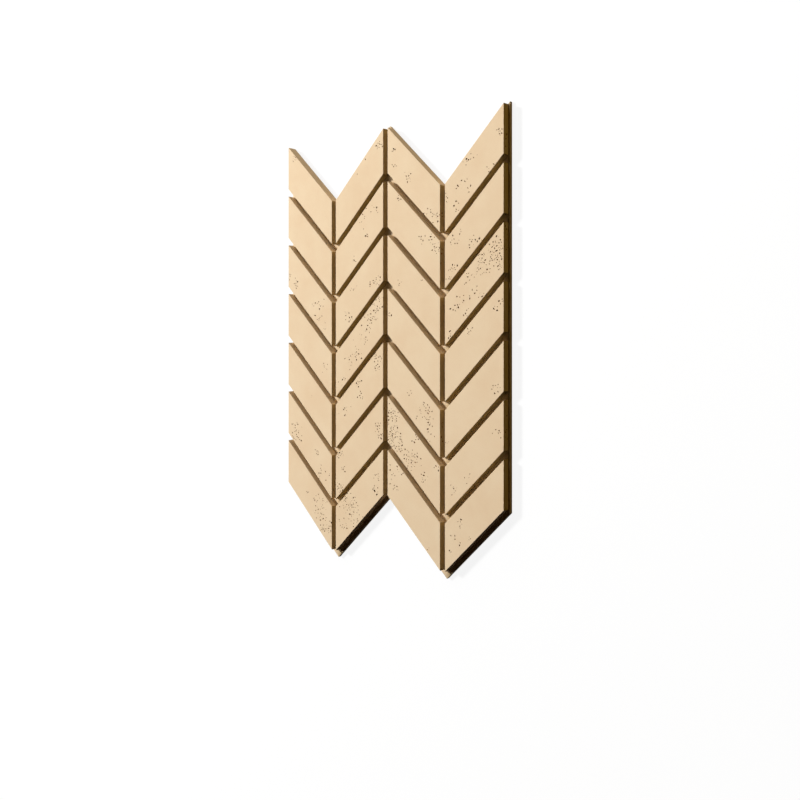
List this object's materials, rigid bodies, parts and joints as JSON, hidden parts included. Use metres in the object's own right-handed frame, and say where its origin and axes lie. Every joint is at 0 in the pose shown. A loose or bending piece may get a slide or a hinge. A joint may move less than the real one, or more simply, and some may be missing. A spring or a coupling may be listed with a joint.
{
  "type": "concrete wall panel",
  "caption": "Cast concrete wall panel: raised slanted slats in a chevron relief on a thin backing plate, with zigzag ends that fit the next panel, bedded on a wall by its flat back.",
  "frame": {"origin": "on the back face, under the middle of the panel's outline", "axes": "+X across the columns of slats, +Y along the columns towards the top end, +Z out of the relief face"},
  "size_m": [0.595, 0.9434, 0.0226],
  "materials": {
    "concrete": "matt, as cast, with fine pores"
  },
  "bodies": {
    "root": {"chevron_panel": "concrete"}
  },
  "joints": []
}
